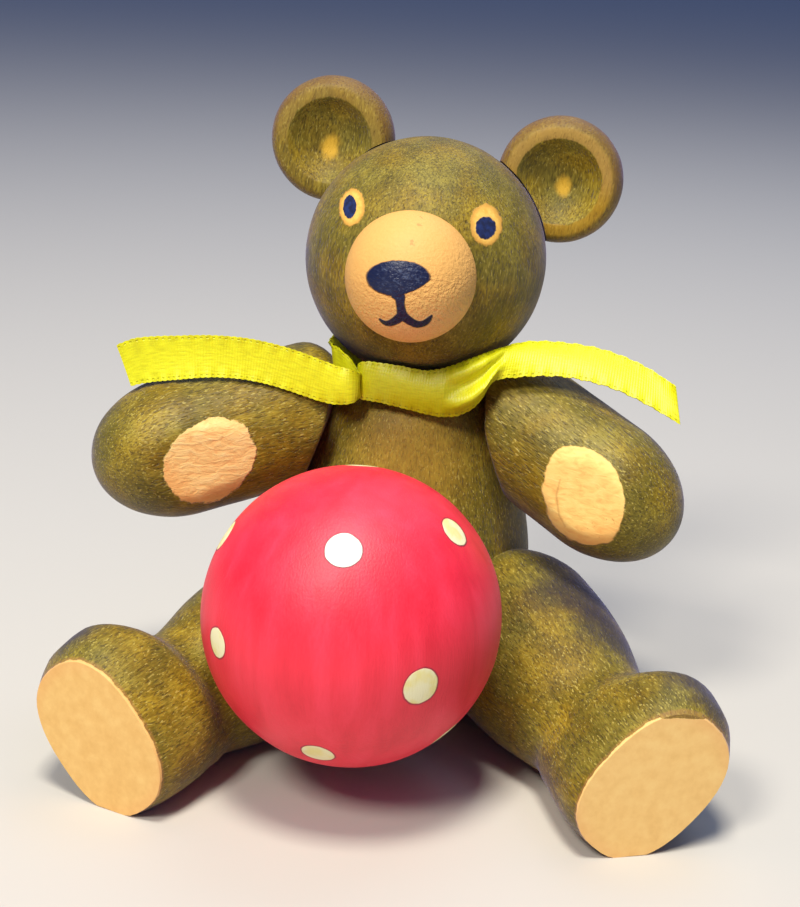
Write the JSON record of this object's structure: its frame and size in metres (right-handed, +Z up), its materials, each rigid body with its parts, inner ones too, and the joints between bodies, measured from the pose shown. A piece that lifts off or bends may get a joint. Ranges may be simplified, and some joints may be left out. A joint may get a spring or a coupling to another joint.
{
  "type": "wooden bear figurine",
  "caption": "Small turned wooden bear that sits with its legs spread, holds a spotted ball in its lap and wears a satin ribbon round its neck.",
  "frame": {"origin": "on the surface that the bear sits on, under the middle of its seat", "axes": "+Z up, the bear faces -Y, and its own left side is +X"},
  "size_m": [0.0455, 0.0386, 0.0453],
  "materials": {
    "stained_wood": "olive-brown stain, satin",
    "bare_wood": "pale tan paint, matt",
    "painted_wood": "red lacquer with white dots, satin",
    "satin_ribbon": "yellow-green woven satin"
  },
  "bodies": {
    "root": {"body": "stained_wood", "head": "stained_wood", "muzzle": "bare_wood", "left_ear": "stained_wood", "right_ear": "stained_wood", "left_arm": "stained_wood", "right_arm": "stained_wood", "left_leg": "stained_wood", "right_leg": "stained_wood", "ball": "painted_wood", "neck_ribbon": "satin_ribbon"}
  },
  "joints": []
}
